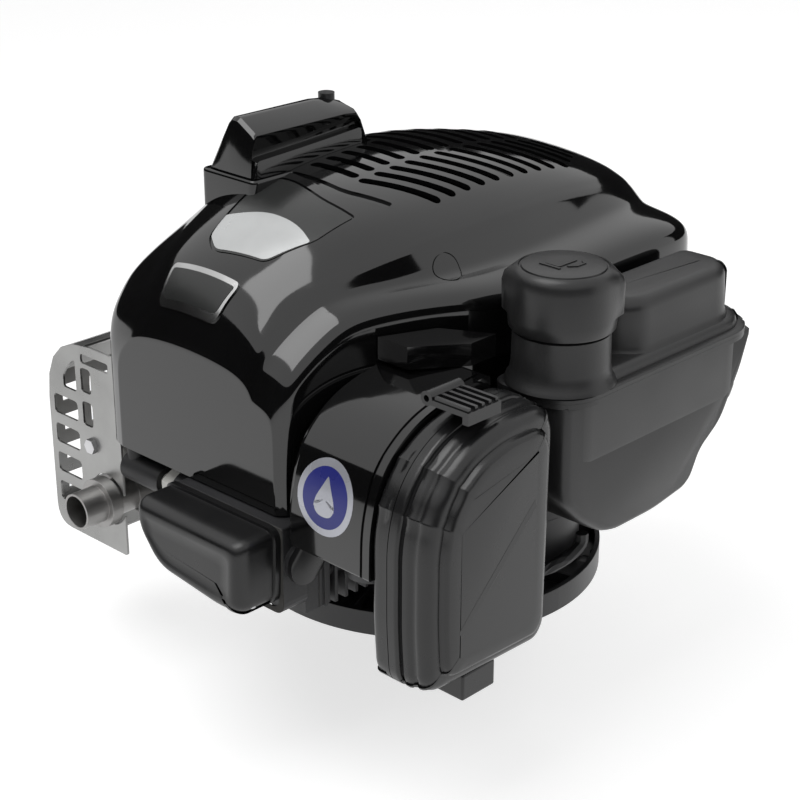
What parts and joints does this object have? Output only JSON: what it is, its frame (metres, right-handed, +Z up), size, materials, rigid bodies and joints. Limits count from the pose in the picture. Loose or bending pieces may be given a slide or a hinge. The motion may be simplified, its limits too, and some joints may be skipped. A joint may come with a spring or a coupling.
{
  "type": "small gasoline engine",
  "caption": "Vertical-shaft single-cylinder gasoline engine with a battery-start blower housing, side fuel tank, air cleaner and guarded silencer.",
  "frame": {"origin": "crankshaft axis at the mounting face of the flange, centre of the deck-bolt circle", "axes": "+Z up along the crankshaft away from the deck, -Y along the cylinder towards the valve cover, +X towards the air cleaner and fuel tank"},
  "size_m": [0.344, 0.362, 0.3405],
  "materials": {
    "cast_alloy": "sand-blasted die casting",
    "dark_casting": "satin black paint",
    "cast_iron": "machined",
    "steel": "machined",
    "guard_steel": "bright pressed sheet",
    "muffler_steel": "aluminised sheet",
    "gloss_black": "high gloss",
    "black_plastic": "satin moulded",
    "fan_plastic": "moulded",
    "tank_plastic": "satin blow moulding",
    "rubber": "moulded",
    "gasket_fibre": "pressed fibre",
    "ceramic": "glazed",
    "paper": "pleated paper",
    "brass": "turned",
    "friction": "moulded lining",
    "bright_trim": "plated",
    "label_grey": "printed film"
  },
  "bodies": {
    "engine": {"sump": "dark_casting", "crankcase": "cast_alloy", "cylinder_liner": "cast_iron", "gaskets": "gasket_fibre", "cylinder_head": "cast_alloy", "valve_cover": "black_plastic", "oil_seals": "rubber", "spark_plug": "ceramic", "plug_boot": "rubber", "plug_lead": "rubber", "ignition_coil": "black_plastic", "starter_motor": "dark_casting", "shroud": "gloss_black", "emblem": "bright_trim", "label_panel": "label_grey", "battery_dock": "gloss_black", "intake_manifold": "black_plastic", "carburettor": "cast_alloy", "duct_cover": "gloss_black", "intake_duct": "gloss_black", "air_cleaner_base": "black_plastic", "air_filter": "paper", "tank_upper": "tank_plastic", "tank_lower": "tank_plastic", "fuel_hose": "rubber", "muffler": "muffler_steel", "muffler_guard": "guard_steel", "oil_tube": "black_plastic", "fasteners": "steel"},
    "crank": {"crankshaft": "steel", "crank_gear": "steel", "flywheel": "cast_alloy", "ring_gear": "steel", "cooling_fan": "fan_plastic", "flywheel_nut": "steel"},
    "cam": {"camshaft": "cast_iron"},
    "piston": {"piston": "cast_alloy", "piston_rings": "cast_iron", "wrist_pin": "steel"},
    "rod": {"connecting_rod": "cast_alloy", "rod_cap": "cast_alloy", "crankpin": "steel"},
    "intake_push": {"intake_pushrod": "steel"},
    "exhaust_push": {"exhaust_pushrod": "steel"},
    "intake_rocker": {"intake_rocker": "steel"},
    "exhaust_rocker": {"exhaust_rocker": "steel"},
    "intake_valve": {"intake_valve": "steel"},
    "exhaust_valve": {"exhaust_valve": "steel"},
    "cap_lift": {"cap_gasket": "rubber"},
    "cap": {"fuel_cap": "black_plastic"},
    "dipstick": {"dipstick": "black_plastic"},
    "cleaner_cover": {"air_cleaner_cover": "black_plastic"},
    "latch": {"cover_latch": "black_plastic"},
    "battery": {"battery_pack": "gloss_black"},
    "button": {"release_button": "black_plastic"},
    "brake": {"brake_lever": "steel", "brake_pad": "friction"},
    "throttle": {"throttle_shaft": "brass"},
    "vane": {"governor_vane": "black_plastic"},
    "pinion": {"starter_pinion": "steel"}
  },
  "joints": [
    {"name": "crank_spin", "type": "hinge", "parent": "engine", "child": "crank", "pos_m": [0, 0, 0], "axis": [0, 0, 1], "continuous": true},
    {"name": "cam_spin", "type": "hinge", "parent": "engine", "child": "cam", "pos_m": [0.038, 0.03623, 0], "axis": [0, 0, 1], "continuous": true},
    {"name": "piston_slide", "type": "slide", "parent": "engine", "child": "piston", "axis": [0, 1, 0], "range_m": [0, 0.046]},
    {"name": "rod_swing", "type": "hinge", "parent": "piston", "child": "rod", "pos_m": [0, -0.107, 0.066], "axis": [0, 0, 1], "range_deg": [-15.8, 15.8]},
    {"name": "intake_lift", "type": "slide", "parent": "engine", "child": "intake_push", "axis": [0, -1, 0], "range_m": [0, 0.0045]},
    {"name": "intake_rock", "type": "hinge", "parent": "engine", "child": "intake_rocker", "pos_m": [0.02, -0.1768, 0.081], "axis": [0, 0, 1], "range_deg": [-14.6, 0]},
    {"name": "intake_open", "type": "slide", "parent": "engine", "child": "intake_valve", "axis": [0, 1, 0], "range_m": [0, 0.0045]},
    {"name": "exhaust_lift", "type": "slide", "parent": "engine", "child": "exhaust_push", "axis": [0, -1, 0], "range_m": [0, 0.0045]},
    {"name": "exhaust_rock", "type": "hinge", "parent": "engine", "child": "exhaust_rocker", "pos_m": [0.02, -0.1768, 0.051], "axis": [0, 0, 1], "range_deg": [-14.6, 0]},
    {"name": "exhaust_open", "type": "slide", "parent": "engine", "child": "exhaust_valve", "axis": [0, 1, 0], "range_m": [0, 0.0045]},
    {"name": "cap_raise", "type": "slide", "parent": "engine", "child": "cap_lift", "axis": [0, 0, 1], "range_m": [0, 0.06]},
    {"name": "cap_turn", "type": "hinge", "parent": "cap_lift", "child": "cap", "pos_m": [0.122, -0.021, 0.2], "axis": [0, 0, 1], "range_deg": [0, 90]},
    {"name": "dipstick_pull", "type": "slide", "parent": "engine", "child": "dipstick", "axis": [-0.6941, 0.4337, 0.5746], "range_m": [0, 0.12]},
    {"name": "cover_open", "type": "hinge", "parent": "engine", "child": "cleaner_cover", "pos_m": [0.122, -0.107, 0.012], "axis": [0, 1, 0], "range_deg": [0, 60]},
    {"name": "latch_lift", "type": "hinge", "parent": "engine", "child": "latch", "pos_m": [0.115, -0.108, 0.174], "axis": [0, -1, 0], "range_deg": [0, 50]},
    {"name": "battery_out", "type": "slide", "parent": "engine", "child": "battery", "axis": [0, 0, 1], "range_m": [0, 0.07]},
    {"name": "button_press", "type": "slide", "parent": "battery", "child": "button", "axis": [0, 0, -1], "range_m": [0, 0.002], "stiffness_N_per_m": 300},
    {"name": "brake_release", "type": "hinge", "parent": "engine", "child": "brake", "pos_m": [0.05656, 0.06741, 0.134], "axis": [0, 0, 1], "range_deg": [-6, 0], "stiffness_Nm_per_rad": 1},
    {"name": "throttle_turn", "type": "hinge", "parent": "engine", "child": "throttle", "pos_m": [0.07, -0.13, 0.098], "axis": [0, 0, 1], "range_deg": [0, 75]},
    {"name": "vane_swing", "type": "hinge", "parent": "engine", "child": "vane", "pos_m": [0.04, -0.092, 0.11], "axis": [0, 0, 1], "range_deg": [0, 30]},
    {"name": "starter_spin", "type": "hinge", "parent": "engine", "child": "pinion", "pos_m": [-0.05111, 0.07299, 0.09], "axis": [0, 0, 1], "continuous": true}
  ],
  "couplings": [
    {"joint": "cam_spin", "follows": "crank_spin", "ratio": -0.5},
    {"joint": "intake_rock", "follows": "intake_lift", "rad_per_m": -56.151},
    {"joint": "intake_open", "follows": "intake_lift", "ratio": 1},
    {"joint": "exhaust_rock", "follows": "exhaust_lift", "rad_per_m": -56.151},
    {"joint": "exhaust_open", "follows": "exhaust_lift", "ratio": 1},
    {"joint": "vane_swing", "follows": "throttle_turn", "ratio": 0.4}
  ]
}
